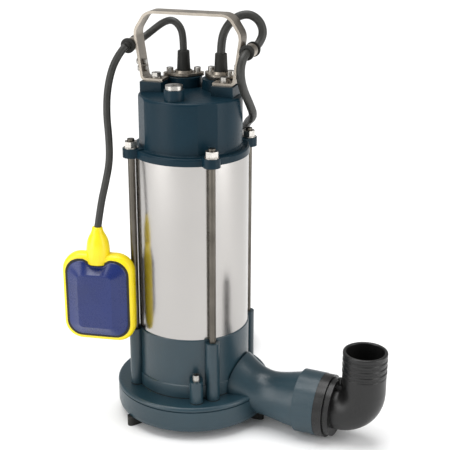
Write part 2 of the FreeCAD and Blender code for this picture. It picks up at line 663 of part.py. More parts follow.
def make_motor():
    ring("stator_core", "stator_bore", "shell_radius - shell_wall", "rotor_low", "rotor_high")
    below = ring(None, "stator_bore + 4", "58", "rotor_low - 20", "rotor_low",
                 [("58", "rotor_low - 20", 6), ("stator_bore + 4", "rotor_low - 20", 4)])
    above = ring(None, "stator_bore + 4", "58", "rotor_high", "rotor_high + 20",
                 [("58", "rotor_high + 20", 6), ("stator_bore + 4", "rotor_high + 20", 4)])
    group([below, above], "end_windings")
    ring("rotor_core", "bearing_shaft + 2", "rotor_radius", "rotor_low", "rotor_high")
    turned("shaft", [
        ("0", "16"), ("5", "16"), ("5", "20"), ("shaft_radius", "20"), ("shaft_radius", "78"),
        ("bearing_shaft", "78"), ("bearing_shaft", "lower_bearing_z + 7"),
        ("bearing_shaft + 2", "lower_bearing_z + 7"), ("bearing_shaft + 2", "upper_bearing_z - 7"),
        ("bearing_shaft", "upper_bearing_z - 7"), ("bearing_shaft", "upper_bearing_z + 6"),
        ("0", "upper_bearing_z + 6")])


def make_bearing(name, level, outer):
    """A ball bearing as its outer race, inner race and balls."""
    low = f"{level} - bearing_width / 2"
    high = f"{level} + bearing_width / 2"
    pitch = (size("bearing_shaft") + size(outer)) / 2
    ball = 3.2
    groove_cut = doc.addObject("Part::Torus", helper_name())
    tie(groove_cut, Radius1=str(pitch), Radius2=str(ball + 0.05), z=level)
    outer_race = ring(None, str(pitch + 2), outer, low, high)
    cut(outer_race, groove_cut, f"{name}_bearing_outer_race")
    shoulder = str(pitch - 2)
    bottom = str(pitch - 3.3)
    turned(f"{name}_bearing_inner_race", [
        ("bearing_shaft", low), (shoulder, low), (shoulder, f"{level} - 2.9"), (bottom, f"{level} - 1.6"),
        (bottom, f"{level} + 1.6"), (shoulder, f"{level} + 2.9"), (shoulder, high), ("bearing_shaft", high)])
    balls = []
    for angle in range(0, 360, 45):
        sphere = doc.addObject("Part::Sphere", helper_name())
        balls.append(tie(sphere, Radius=str(ball), x=f"{pitch} * cos({angle})", y=f"{pitch} * sin({angle})",
                         z=level))
    group(balls, f"{name}_bearing_balls")


def make_shaft_seal():
    turned("seal_seat", [("9", "52"), ("13.95", "52"), ("13.95", "64"), ("11", "64"), ("11", "66.3"),
                         ("9", "66.3")])
    ring("seal_head", "shaft_radius", "14", "66.4", "72")
    coil = Part.makeHelix(2.6, 5.2, 11)
    profile = Part.Wire([Part.makeCircle(0.9, Vector(11, 0, 0), Vector(0, 1, 0))])
    spring = Part.Wire(coil.Edges).makePipeShell([profile], True, True)
    feature(spring, "seal_spring", FreeCAD.Placement(Vector(0, 0, 72.92), FreeCAD.Rotation()))


def make_impeller():
    """A disc with a hub and curved blades, a cutter below it, and the bolt that holds both."""
    disc = turned(None, [("shaft_radius", "26"), ("16", "26"), ("18", "33"), ("impeller_radius", "33"),
                         ("impeller_radius", "36.5"), ("16", "36.5"), ("16", "38.4"),
                         ("shaft_radius", "38.4")])
    blades = []
    for angle in (0, 72, 144, 216, 288):
        outer = cylinder("30", "21", "12.5", f"27 * cos({angle})", f"27 * sin({angle})")
        inner = cylinder("26.5", "20", "15", f"27 * cos({angle})", f"27 * sin({angle})")
        crescent = cut(outer, inner)
        keep_side = box("60", "30", "20", f"15 * cos({angle}) + 2 * sin({angle})",
                        f"15 * sin({angle}) - 2 * cos({angle})", "19", angle)
        common = doc.addObject("Part::Common", helper_name())
        common.Base = crescent
        common.Tool = keep_side
        blades.append(common)
    trimmed = cut(fuse([disc] + blades), ring(None, "impeller_radius", "75", "15", "45"))
    cut(trimmed, cylinder("shaft_radius", "10", "50"), "impeller")
    bar = box("50", "9", "5", "0 - 25", "0 - 4.5", "11.5")
    hub = cylinder("9", "11.5", "8.5")
    body = cut(fuse([bar, hub]), cylinder("5", "5", "30"))
    common = doc.addObject("Part::Common", helper_name())
    common.Base = body
    common.Tool = cylinder("26.5", "5", "30")
    keep(common, "cutter_blade")
    prism_head = prism("7", "7", "4.5")
    stem = cylinder("5", "11.5", "4.5")
    fuse([prism_head, stem], "cutter_bolt")


def make_inside_cover():
    canister = doc.addObject("Part::Cylinder", helper_name())
    canister.Placement.Rotation = FreeCAD.Rotation(Vector(0, 1, 0), 90)
    tie(canister, Radius="15", Height="55", x="0 - 27", y="0 - 22", z="345")
    keep(canister, "capacitor")
    base = box("40", "18", "12", "0 - 20", "14", "shell_top")
    teeth = [box("6", "18", "4", f"{x}", "14", "shell_top + 12") for x in (-19, -7, 5, 13)]
    fuse([base] + teeth, "terminal_block")


# ---------------------------------------------------------------- float switch

FLOAT_CENTRE = behind(-105.8, -29.6, 0)


def float_place(height):
    return FreeCAD.Placement(FLOAT_CENTRE + Vector(0, 0, height), FreeCAD.Rotation(UP, size("float_turn")))


def tablet(width, depth, height, corner, edge):
    """A flat block standing on its edge, with a round outline and softened rims."""
    block = Part.makeBox(width, depth, height, Vector(-width / 2, -depth / 2, 0))
    block = block.makeFillet(corner, [e for e in block.Edges if abs(e.tangentAt(e.FirstParameter).y) > 0.9])
    if edge:
        block = block.makeFillet(edge, [e for e in block.Edges if e.BoundBox.YLength < 0.01])
    return block


def face_outline(half, low, high, corner):
    """A rounded rectangle's points, with four to each round corner."""
    points = []
    for x, z, start in ((half - corner, high - corner, 0), (corner - half, high - corner, 90),
                        (corner - half, low + corner, 180), (half - corner, low + corner, 270)):
        for step in range(4):
            angle = math.radians(start + 30 * step)
            points.append((x + corner * math.cos(angle), z + corner * math.sin(angle)))
    return points + [points[0]]


def dished(side, *steps):
    """A solid between rounded rectangles at growing depths, on one side of the float."""
    loops = [Part.makePolygon([Vector(x, side * depth, z) for x, z in face_outline(*step)])
             for depth, *step in steps]
    return Part.makeLoft(loops, True, True)


def make_float():
    """A yellow frame with a hollow blue face each side; a steel ball in a cage tips a small switch."""
    low = size("float_low")
    tall = size("float_top") - low
    thick = size("float_thick")
    outside = tablet(size("float_width"), thick, tall, 20, 6)
    neck = Part.Face(Part.makePolygon([Vector(x, 0, z) for x, z in (
        (0, tall - 11.3), (13.5, tall - 11.3), (13.2, tall + 6), (12.2, tall + 14), (10.2, tall + 19),
        (6.8, tall + 26), (5.8, tall + 31), (0, tall + 31), (0, tall - 11.3))])).revolve(Vector(), UP, 360)
    window = tablet(62, thick + 2, tall - 23.5, 12, 0)
    window.translate(Vector(0, 0, 11.5))
    cord_hole = Part.makeCylinder(size("float_cord") / 2, 60, Vector(0, 0, tall + 6))
    case = outside.fuse(neck).cut([window, cord_hole]).removeSplitter()
    feature(case, "float_case", float_place(low))
    margin = size("face_margin")
    half = size("face_half")
    panel = size("panel_half")
    seam = thick / 2
    front = size("float_depth") / 2
    notch = Part.makeCylinder(14, 40, Vector(0, 0, tall - 11.8))
    faces = []
    for side in (-1, 1):
        skin = dished(side, (seam, half, margin, tall - margin, 17), (front, panel, 20.5, tall - 20.5, 5))
        hollow = dished(side, (seam, half - 3, margin + 3, tall - 15, 14),
                        (front - 2.2, panel - 2, 23, tall - 26, 4))
        faces.append(skin.cut([hollow, notch]))
    feature(Part.makeCompound(faces), "float_faces", float_place(low))
    cage = Part.makeCylinder(10, 44).cut(Part.makeCylinder(8.4, 60, Vector(0, 0, -2)))
    feature(cage, "ball_cage", float_place(low + 11.5))
    feature(Part.makeSphere(8), "switch_ball", float_place(low + 19.6))
    block = Part.makeBox(22, 11, 14, Vector(-11, -5.5, 0))
    lever = Part.makeBox(14, 5, 1, Vector(-7, -2.5, -1))
    feature(block.fuse(lever).removeSplitter(), "micro_switch", float_place(low + 62))


# ---------------------------------------------------------------- cords

FLOAT_CORD_FIXED = [at_handle(*p) for p in (
    (-17.8, 27, 424), (-17.8, 27, 441), (-21.5, 28, 453), (-31.5, 30, 460), (-44, 33, 456),
    (-56, 33, 447), (-64.5, 28, 439.5), (-68.3, 17.5, 436), (-68.3, -14.6, 435.6))]
SWING_POINT = at_handle(-68.3, -19, 435.6)
FLOAT_CORD_HANGING = [SWING_POINT] + [at_handle(*p) for p in (
    (-72, -25, 430), (-79.5, -30.5, 414), (-83.5, -36.5, 390), (-82.5, -42.5, 364), (-78.3, -47.5, 340),
    (-75.9, -52.9, 315), (-78.8, -59, 292), (-84.5, -62.5, 266))] + [FLOAT_CENTRE + Vector(0, 0, 236)]
POWER_CORD_RUN = [at_handle(*p) for p in (
    (27.6, 23.7, 424), (27.8, 23.8, 441), (33.5, 24.5, 456), (44, 26, 467), (58, 28, 471), (70, 29.5, 464),
    (75.5, 27, 451), (72, 20.5, 440), (68.3, 12, 435.6), (68.3, -18, 435.6),
    (67, -28, 425), (66, -25, 411), (64.5, -10, 395), (65.5, 8, 377), (66, 26, 358), (44, 65, 340),
    (28.5, 79.5, 300))] + [behind(*p) for p in (
        (46, 84, 245), (34, 93, 190), (25, 99, 138), (18, 104, 98), (24, 116, 68), (45.9, 143.9, 47.5))]
POWER_CORD_END = [behind(x, size("coil_away") + y, z) for x, y, z in (
    (57, -5, 43), (56, 17, 49), (45, 37, 61), (28, 49.5, 70.2), (11, 54, 70.2))]


def make_cords():
    feature(tube(FLOAT_CORD_FIXED, size("float_cord")), "float_cord_clipped")
    hanging = tube(FLOAT_CORD_HANGING, size("float_cord"))
    axis = at_handle(1, 0, 0)
    knuckle = Part.makeCylinder(size("float_cord") / 2, 8.2, SWING_POINT - axis * 4.1, axis)
    feature(hanging.fuse(knuckle).removeSplitter(), "float_cord_hanging")
    feature(tube(POWER_CORD_RUN, size("power_cord")), "power_cord_run")
    centre = behind(0, size("coil_away"), 0)
    half = size("coil_band") / 2
    outer = Part.makeCylinder(size("coil_middle") + half, size("coil_height"), centre)
    coil = outer.cut(Part.makeCylinder(size("coil_middle") - half, 80, centre - Vector(0, 0, 10)))
    feature(coil, "power_cord_coil")
    feature(tube(POWER_CORD_END, size("power_cord")), "power_cord_end")


def make_mains_plug():
    """A round moulded plug with two pins, lying on the coil."""
    start = POWER_CORD_END[-1]
    along = start - POWER_CORD_END[-2]
    along = Vector(along.x, along.y, along.z)
    along.normalize()
    sleeve = Part.makeCone(6, 9, 22, start, along)
    body = Part.makeCylinder(18, 30, start + along * 22, along)
    body = body.makeFillet(4, [e for e in body.Edges if isinstance(e.Curve, Part.Circle)])
    feature(sleeve.fuse(body).removeSplitter(), "mains_plug")
    across = along.cross(UP)
    across.normalize()
    pins = []
    for side in (-1, 1):
        pin = Part.makeCylinder(2.4, 19, start + along * 52 + across * (9.5 * side), along)
        pins.append(pin)
    feature(Part.makeCompound(pins), "mains_plug_pins")


# ---------------------------------------------------------------- build, test and write

neck = neck_loft()
make_feet(neck)
make_volute(neck)
for step in (make_suction_side, make_lower_housing, make_joints_of_casings,
             make_brackets, make_shell_and_rods, make_top_cover, make_glands, make_handle, make_clips,
             make_discharge, make_motor, make_shaft_seal, make_impeller, make_inside_cover, make_float,
             make_cords, make_mains_plug):
    step()
make_bearing("lower", "lower_bearing_z", "22")
make_bearing("upper", "upper_bearing_z", "19.95")
doc.recompute()

for item in doc.Objects:
    faults = [state for state in item.State if state in ("Invalid", "Error")]
    if faults:
        raise RuntimeError(f"{item.Label} failed: {faults}")
for item in nodes:
    if item.Shape.isNull() or not item.Shape.isValid():
        raise RuntimeError(f"{item.Label} has no valid shape")

os.makedirs("parts", exist_ok=True)
for item in nodes:
    item.Shape.exportStep(f"parts/{item.Label}.step")
    reach = item.Shape.BoundBox
    print(f"{item.Label}: {len(item.Shape.Solids)} solids, {item.Shape.Volume:.0f} mm3,",
          f"z {reach.ZMin:.1f} to {reach.ZMax:.1f}")
print(len(nodes), "nodes")
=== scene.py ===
# %% [markdown]
# # A submersible pump with a float switch
# This lesson dresses a finished CAD frame of a drainage pump. The frame already holds every casting, rod,
# screw and moving piece in its right place, so Blender adds what CAD is poor at: soft cords, moulded
# shells with soft edges, and finishes that tell cast iron, brushed steel, rubber and plastic apart.

# %% Load the frame and count its pieces
import bmesh
import bpy
import math
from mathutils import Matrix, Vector


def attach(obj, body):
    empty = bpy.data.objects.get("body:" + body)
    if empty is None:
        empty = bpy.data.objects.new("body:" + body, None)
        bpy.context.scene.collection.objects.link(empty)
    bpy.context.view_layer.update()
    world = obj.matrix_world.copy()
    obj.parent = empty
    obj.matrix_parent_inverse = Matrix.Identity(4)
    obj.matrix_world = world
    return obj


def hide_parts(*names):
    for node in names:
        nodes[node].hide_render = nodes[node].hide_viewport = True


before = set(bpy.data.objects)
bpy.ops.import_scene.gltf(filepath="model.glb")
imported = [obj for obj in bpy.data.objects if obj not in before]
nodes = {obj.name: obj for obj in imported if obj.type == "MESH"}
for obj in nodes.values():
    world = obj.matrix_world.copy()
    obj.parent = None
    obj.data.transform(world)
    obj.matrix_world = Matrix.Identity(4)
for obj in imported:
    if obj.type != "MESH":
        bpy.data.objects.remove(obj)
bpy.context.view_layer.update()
print("pieces in the frame:", len(nodes))


def mm(x, y, z):
    return Vector((x, y, z)) / 1000


# %% [markdown]
# ## The camera
# A camera could be moved by eye until the picture looks right, but a pump is full of circles, and circles
# give a camera away. The flange, the collar and the hose tail fix its height, its tilt and its lens, so
# those numbers are written here and nothing is left to taste.

# %% Camera
CAMERA_PLACE = mm(517.4, -1034.1, 641.1)
CAMERA_HEADING = math.radians(114.69)
CAMERA_TILT = math.radians(19.545)
CAMERA_LENS = 85.25

camera_data = bpy.data.cameras.new("camera")
camera_data.lens = CAMERA_LENS
camera_data.sensor_width = 36
camera = bpy.data.objects.new("camera", camera_data)
bpy.context.scene.collection.objects.link(camera)
bpy.context.scene.camera = camera
looking = Vector((math.cos(CAMERA_HEADING) * math.cos(CAMERA_TILT),
                  math.sin(CAMERA_HEADING) * math.cos(CAMERA_TILT), -math.sin(CAMERA_TILT)))
camera.location = CAMERA_PLACE
camera.rotation_mode = "QUATERNION"
camera.rotation_quaternion = looking.to_track_quat("-Z", "Y")
print("camera looks along", [round(value, 3) for value in looking])

# %% [markdown]
# ## Two ways to say where things are
# The handle stands at a small angle to the discharge neck, and the stored cord lies straight behind the
# pump as the camera sees it. Working out each point by hand in plain X and Y would hide that, so two small
# helpers turn "along the handle" and "behind the pump" into places in the frame.

# %% Direction helpers
HANDLE_ANGLE = math.radians(6)
VIEW_ANGLE = math.radians(26.6)
FLOAT_ANGLE = math.radians(13.6)


def turned(along, aside, height, angle):
    return mm(along * math.cos(angle) - aside * math.sin(angle),
              along * math.sin(angle) + aside * math.cos(angle), height)


def at_handle(along, aside, height):
    return turned(along, aside, height, HANDLE_ANGLE)


def behind(across, away, height):
    return turned(across, away, height, VIEW_ANGLE)


# %% [markdown]
# ## The cords
# Each cord is a fixed length of something heavy and rubbery. A mesh tube could be bent by hand, but a
# NURBS curve with a round bevel stays smooth however few points it has, and its points are the very ones
# that the CAD tube follows. Order 3 makes a curve that leans on its points without touching them.

# %% Cord curve helper
FLOAT_CORD = 0.0082
POWER_CORD = 0.0094


def cord_curve(name, points, diameter):
    """A round NURBS tube. A one metre bevel times each point's radius gives the cord's own thickness,
    and keeps the curve's bounds tight, because they grow by that radius."""
    data = bpy.data.curves.new(name, "CURVE")
    data.dimensions = "3D"
    data.resolution_u = 10
    data.bevel_depth = 1
    data.bevel_resolution = 5
    data.use_fill_caps = True
    spline = data.splines.new("NURBS")
    spline.points.add(len(points) - 1)
    for place, point in zip(spline.points, points):
        place.co = (*point, 1)
        place.radius = diameter / 2
    spline.order_u = 3
    spline.use_endpoint_u = True
    item = bpy.data.objects.new(name, data)
    bpy.context.scene.collection.objects.link(item)
    print(name, len(points), "points")
    return item


def curve_length(item):
    plain = item.data.copy()
    plain.bevel_depth = 0
    probe = bpy.data.objects.new("probe", plain)
    line = bpy.data.meshes.new_from_object(probe)
    ends = [(line.vertices[a].co, line.vertices[b].co) for a, b in (edge.vertices for edge in line.edges)]
    bpy.data.meshes.remove(line)
    bpy.data.objects.remove(probe)
    bpy.data.curves.remove(plain)
    return sum((a - b).length for a, b in ends)


# %% [markdown]
# ## The float cord
# It rises out of its gland, arches over and goes through a rubber bush on the handle's leg; that stretch
# never moves. Beyond the bush it hangs and swings with the float, so it has to be a second curve that
# rides on the float's body. The second curve sets off in the direction in which the first one arrives,
# so that at rest the two read as one cord.

# %% Float cord
SWING_POINT = at_handle(-68.3, -19, 435.6)
clipped_route = [at_handle(*p) for p in (
    (-17.8, 27, 424), (-17.8, 27, 441), (-21.5, 28, 453), (-31.5, 30, 460), (-44, 33, 456),
    (-56, 33, 447), (-64.5, 28, 439.5), (-68.3, 17.5, 436), (-68.3, -14.6, 435.6))] + [SWING_POINT]
FLOAT_MIDDLE = behind(-105.8, -29.6, 0)
hanging_route = [SWING_POINT] + [at_handle(*p) for p in (
    (-72, -25, 430), (-79.5, -30.5, 414), (-83.5, -36.5, 390), (-82.5, -42.5, 364), (-78.3, -47.5, 340),
    (-75.9, -52.9, 315), (-78.8, -59, 292), (-84.5, -62.5, 266))] + [FLOAT_MIDDLE + mm(0, 0, 236)]
clipped_cord = cord_curve("float_cord_at_clip", clipped_route, FLOAT_CORD)
hanging_cord = cord_curve("float_cord_free", hanging_route, FLOAT_CORD)
print("float cord:", round(curve_length(clipped_cord) + curve_length(hanging_cord), 3), "m")

# %% [markdown]
# ## The mains lead
# Its seen part loops over the handle's leg, passes the other bush and drops behind the casing. The rest
# is put away as a neat coil on the floor. Placing three hundred coil points by hand would be hopeless, so
# a loop lays the turns in four columns, down the innermost, up the next and so on, each turn flat for most
# of the way round and then stepping one cord's width to the next.

# %% Mains lead
COIL_AWAY = 176
COLUMN_RADII = (43.6, 53.2, 62.8, 72.4)
ROW_COUNT = 5
ROW_PITCH = 9.6
FLOOR_ROW = 4.9
POINTS_PER_TURN = 18


def coil_point(radius, angle, height):
    return behind(radius * math.cos(angle), COIL_AWAY + radius * math.sin(angle), height)


def coil_route(first_angle):
    seats = []
    for column, radius in enumerate(COLUMN_RADII):
        rows = range(ROW_COUNT) if column % 2 else reversed(range(ROW_COUNT))
        seats += [(radius, FLOOR_ROW + ROW_PITCH * row) for row in rows]
    points = []
    for turn, (radius, height) in enumerate(seats):
        next_radius, next_height = seats[min(turn + 1, len(seats) - 1)]
        for step in range(POINTS_PER_TURN):
            part = step / POINTS_PER_TURN
            shift = max(0.0, (part - 0.75) / 0.25)
            shift = shift * shift * (3 - 2 * shift)
            angle = first_angle + 2 * math.pi * part
            points.append(coil_point(radius + (next_radius - radius) * shift, angle,
                                     height + (next_height - height) * shift))
    return points


run_route = [at_handle(*p) for p in (
    (27.6, 23.7, 424), (27.8, 23.8, 441), (33.5, 24.5, 456), (44, 26, 467), (58, 28, 471), (70, 29.5, 464),
    (75.5, 27, 451), (72, 20.5, 440), (68.3, 12, 435.6), (68.3, -18, 435.6), (67, -28, 425),
    (66, -25, 411), (64.5, -10, 395), (65.5, 8, 377), (66, 26, 358), (44, 65, 340), (28.5, 79.5, 300))]
run_route += [behind(*p) for p in (
    (46, 84, 245), (34, 93, 190), (25, 99, 138), (18, 104, 98), (24, 116, 70), (43, 143.9, 55))]
run_route.append(coil_point(47, math.radians(-8), 48))
end_route = [coil_point(71, math.radians(-8), 47), coil_point(65, math.radians(12), 54)]
end_route += [behind(x, COIL_AWAY + y, z) for x, y, z in ((46, 38, 63), (28, 49.5, 70.2), (11, 54, 70.2))]
lead_route = run_route + coil_route(math.radians(12)) + end_route
mains_lead = cord_curve("mains_lead", lead_route, POWER_CORD)
lead_length = curve_length(mains_lead)
print("mains lead:", round(lead_length, 3), "m")

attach(clipped_cord, "pump")
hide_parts("float_cord_clipped")
round(curve_length(clipped_cord), 3)
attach(mains_lead, "pump")
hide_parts("power_cord_run", "power_cord_coil", "power_cord_end")

# %% [markdown]
# ## Floor and light
# The floor is plain and pale, and the world is a soft white box. Brushed steel shows only what it
# reflects, so a white room alone would make it flat: the world is kept dimmer for reflections than it
# looks to the camera, two large soft boxes give the bright bands that run down the shell, and one very
# wide sun lights the whole floor evenly.

# %% Floor and lights
FLOOR_REACH = 6
floor_mesh = bpy.data.meshes.new("floor")
floor_mesh.from_pydata([(-FLOOR_REACH, -FLOOR_REACH, 0), (FLOOR_REACH, -FLOOR_REACH, 0),
                        (FLOOR_REACH, FLOOR_REACH, 0), (-FLOOR_REACH, FLOOR_REACH, 0)], [], [(0, 1, 2, 3)])
floor = bpy.data.objects.new("floor", floor_mesh)
bpy.context.scene.collection.objects.link(floor)
floor_material = bpy.data.materials.new("pale_floor")
floor_material.use_nodes = True
floor_shader = floor_material.node_tree.nodes["Principled BSDF"]
floor_shader.inputs["Base Color"].default_value = (0.93, 0.93, 0.93, 1)
floor_shader.inputs["Roughness"].default_value = 0.9
floor_shader.inputs["Specular IOR Level"].default_value = 0.1
floor_mesh.materials.append(floor_material)

world = bpy.data.worlds.new("studio")
bpy.context.scene.world = world
world.use_nodes = True
sky = world.node_tree.nodes
links = world.node_tree.links
ambient = sky["Background"]
ambient.inputs["Color"].default_value = (1, 1, 1, 1)
ambient.inputs["Strength"].default_value = 0.42
backdrop = sky.new("ShaderNodeBackground")
backdrop.inputs["Color"].default_value = (1, 1, 1, 1)
backdrop.inputs["Strength"].default_value = 1.0
ray = sky.new("ShaderNodeLightPath")
choose = sky.new("ShaderNodeMixShader")
links.new(ray.outputs["Is Camera Ray"], choose.inputs[0])
links.new(ambient.outputs[0], choose.inputs[1])
links.new(backdrop.outputs[0], choose.inputs[2])
links.new(choose.outputs[0], sky["World Output"].inputs["Surface"])
bpy.context.scene.view_settings.view_transform = "Standard"


def soft_light(name, place, target, width, height, power):
    data = bpy.data.lights.new(name, "AREA")
    data.shape = "RECTANGLE"
    data.size = width
    data.size_y = height
    data.energy = power
    item = bpy.data.objects.new(name, data)
    bpy.context.scene.collection.objects.link(item)
    item.location = place
    item.rotation_mode = "QUATERNION"
    item.rotation_quaternion = (Vector(target) - Vector(place)).to_track_quat("-Z", "Y")
    return item


MIDDLE = mm(0, 0, 230)
soft_light("left_box", behind(-1300, -760, 600), MIDDLE, 0.9, 1.8, 15)
soft_light("right_box", behind(1200, -620, 560), MIDDLE, 0.6, 1.8, 11)
SUN_STRENGTH = 2.6
SUN_WIDTH = math.radians(50)
sun_data = bpy.data.lights.new("window", "SUN")
sun_data.energy = SUN_STRENGTH
sun_data.angle = SUN_WIDTH
sun = bpy.data.objects.new("window", sun_data)
bpy.context.scene.collection.objects.link(sun)
sun.rotation_mode = "QUATERNION"
sun.rotation_quaternion = (MIDDLE - behind(-250, 150, 1500)).to_track_quat("-Z", "Y")
print("two soft boxes and one wide window light")

# %% [markdown]
# ## Finishes
# One shader with one colour looks like a toy. Every finish here starts from the same three ideas: a slow
# noise that shifts the colour a little, a second noise that makes some patches duller, and a fine grain
# that tilts the surface. What differs is their scale, which is what tells rubber from cast iron.

# %% Finish helper


def finish(name, colour, shade=0.25, rough=(0.35, 0.5), metallic=0.0, patch=18.0, grain=900.0, bump=0.08,
           depth=0.0003, stretch=(1, 1, 1), specular=0.5, anisotropy=0.0):
    """A surface with uneven colour, uneven gloss and a fine grain; stretch draws the grain out."""
    material = bpy.data.materials.new(name)
    material.use_nodes = True
    tree = material.node_tree
    shader = tree.nodes["Principled BSDF"]
    shader.inputs["Metallic"].default_value = metallic
    shader.inputs["Specular IOR Level"].default_value = specular
    shader.inputs["Anisotropic"].default_value = anisotropy
    place = tree.nodes.new("ShaderNodeTexCoord")
    drawn = tree.nodes.new("ShaderNodeMapping")
    drawn.inputs["Scale"].default_value = stretch
    tree.links.new(place.outputs["Object"], drawn.inputs["Vector"])

    def noise(scale, detail, vector):
        item = tree.nodes.new("ShaderNodeTexNoise")
        item.inputs["Scale"].default_value = scale
        item.inputs["Detail"].default_value = detail
        tree.links.new(vector, item.inputs["Vector"])
        return item

    broad = noise(patch, 3, place.outputs["Object"])
    tint = tree.nodes.new("ShaderNodeValToRGB")
    tint.color_ramp.elements[0].position = 0.3
    tint.color_ramp.elements[1].position = 0.7
    tint.color_ramp.elements[0].color = (*(value * (1 - shade) for value in colour), 1)
    tint.color_ramp.elements[1].color = (*(min(1, value * (1 + shade)) for value in colour), 1)
    tree.links.new(broad.outputs["Fac"], tint.inputs["Fac"])
    tree.links.new(tint.outputs["Color"], shader.inputs["Base Color"])
    fine = noise(grain, 2, drawn.outputs["Vector"])
    blend = tree.nodes.new("ShaderNodeMath")
    blend.operation = "ADD"
    tree.links.new(broad.outputs["Fac"], blend.inputs[0])
    tree.links.new(fine.outputs["Fac"], blend.inputs[1])
    dull = tree.nodes.new("ShaderNodeMapRange")
    dull.inputs["From Min"].default_value = 0.7
    dull.inputs["From Max"].default_value = 1.3
    dull.inputs["To Min"].default_value = rough[0]
    dull.inputs["To Max"].default_value = rough[1]
    tree.links.new(blend.outputs[0], dull.inputs["Value"])
    tree.links.new(dull.outputs["Result"], shader.inputs["Roughness"])
    tilt = tree.nodes.new("ShaderNodeBump")
    tilt.inputs["Strength"].default_value = bump
    tilt.inputs["Distance"].default_value = depth
    tree.links.new(fine.outputs["Fac"], tilt.inputs["Height"])
    tree.links.new(tilt.outputs["Normal"], shader.inputs["Normal"])
    return material


def dress(material, *names):
    for name in names:
        data = nodes[name].data
        if not data.materials:
            data.materials.append(material)
        for index in range(len(data.materials)):
            data.materials[index] = material
    print(material.name, "on", len(names), "pieces")


# %% [markdown]
# ## Painted castings
# The cover, the oil housing and the volute are cast iron under a blue-green enamel. Sand casting leaves a
# soft orange-peel grain that the paint fills only partly, so the bump is broad and shallow. The lower
# castings take a glossier paint than the cover, made lighter and greyer as a painted reflection.

# %% Enamel
cover_enamel = finish("cover_enamel", (0.005, 0.021, 0.033), shade=0.15, rough=(0.26, 0.4), patch=14,
                      grain=420, bump=0.25, depth=0.0004, specular=0.14)
# The lower castings' lighter, greyer colour is painted reflection; their higher specular is the real gloss.
base_enamel_painted_reflection = finish("base_enamel_painted_reflection", (0.012, 0.036, 0.050), shade=0.2, rough=(0.28, 0.42), patch=12,
                     grain=380, bump=0.3, depth=0.0005, specular=0.55)
dress(cover_enamel, "top_cover")
dress(base_enamel_painted_reflection, "volute_casing", "lower_housing", "suction_plate", "lower_bracket", "upper_bracket")

# %% [markdown]
# ## Bare steel
# The motor shell is rolled from brushed sheet whose fine lines run round it. Stretching the grain noise
# flat, dense up the shell and long around it, draws those lines, and the shader's own anisotropy spreads
# highlights across them. Screws and the handle are plainer and a little duller; the rods' steel is darkened
# as painted shade.

# %% Steel
brushed = finish("brushed_shell", (0.43, 0.415, 0.4), shade=0.06, rough=(0.15, 0.27), metallic=1.0, patch=6,
                 grain=60, bump=0.06, depth=0.0002, stretch=(1, 1, 40), anisotropy=0.55)
strip = finish("rolled_strip", (0.34, 0.305, 0.26), shade=0.15, rough=(0.3, 0.5), metallic=1.0, patch=60,
               grain=700, bump=0.1, depth=0.0002)
fastener = finish("fastener_steel", (0.40, 0.385, 0.36), shade=0.2, rough=(0.22, 0.42), metallic=1.0,
                  patch=120, grain=1500, bump=0.1, depth=0.0001)
ground = finish("ground_steel", (0.55, 0.55, 0.55), shade=0.1, rough=(0.15, 0.3), metallic=1.0, patch=80,
                grain=2000, bump=0.05, depth=0.0001)
# The rods' steel is made far darker than the shell's as painted shade.
rod_steel_painted_shade = finish("drawn_rod_painted_shade", (0.11, 0.10, 0.085), shade=0.2, rough=(0.25, 0.4), metallic=1.0, patch=40,
                   grain=900, bump=0.1, depth=0.0001, stretch=(1, 1, 0.1))
dress(brushed, "motor_shell")
dress(rod_steel_painted_shade, "tie_rods")
dress(strip, "handle", "clip_bands", "float_gland_plate", "power_gland_plate")
dress(fastener, "tie_rod_nuts", "tie_rod_washers", "housing_bolts", "handle_bolts",
      "gland_screws", "clip_screws", "suction_screws", "filler_plug", "cutter_bolt")
dress(ground, "shaft", "cutter_blade", "lower_bearing_inner_race", "upper_bearing_inner_race",
      "lower_bearing_outer_race", "upper_bearing_outer_race", "lower_bearing_balls",
      "upper_bearing_balls", "seal_spring", "switch_ball", "seal_head")

# %% [markdown]
# ## Rubber and moulded plastic
# Rubber is dull with a faint dusty bloom; injection-moulded plastic is smoother and catches a sharper
# light. Both are nearly black here, so it is gloss and grain that keep them apart.

# %% Rubber and plastic
cord_rubber = finish("cord_sheath", (0.022, 0.022, 0.019), shade=0.35, rough=(0.42, 0.6), patch=90,
                     grain=1400, bump=0.15, depth=0.0002)
rubber = finish("moulded_rubber", (0.014, 0.014, 0.012), shade=0.3, rough=(0.5, 0.7), patch=70, grain=1100,
                bump=0.15, depth=0.0002, specular=0.35)
black_plastic = finish("black_plastic", (0.008, 0.008, 0.008), shade=0.25, rough=(0.26, 0.4), patch=50,
                       grain=1300, bump=0.08, depth=0.0002, specular=0.4)
pale_plastic = finish("cage_plastic", (0.6, 0.6, 0.57), rough=(0.4, 0.5))
ceramic = finish("seal_ceramic", (0.82, 0.79, 0.72), shade=0.05, rough=(0.15, 0.25))
copper = finish("lacquered_copper", (0.55, 0.22, 0.08), metallic=1.0, grain=500, bump=0.5, depth=0.001,
                stretch=(1, 1, 6))
lamination = finish("core_laminations", (0.25, 0.25, 0.26), metallic=1.0, rough=(0.4, 0.6), grain=60,
                    bump=0.5, stretch=(1, 1, 30))
raw_iron = finish("raw_casting", (0.16, 0.16, 0.16), rough=(0.6, 0.8), grain=500, bump=0.5, depth=0.0006)
brass = finish("pin_brass", (0.72, 0.55, 0.25), metallic=1.0, rough=(0.15, 0.3), shade=0.1)
for cord in (clipped_cord, hanging_cord, mains_lead):
    cord.data.materials.append(cord_rubber)
dress(rubber, "feet", "volute_gasket", "shell_seal_rings", "gland_gaskets", "discharge_gasket",
      "float_cord_sleeve", "power_cord_sleeve", "clip_bushes", "mains_plug")
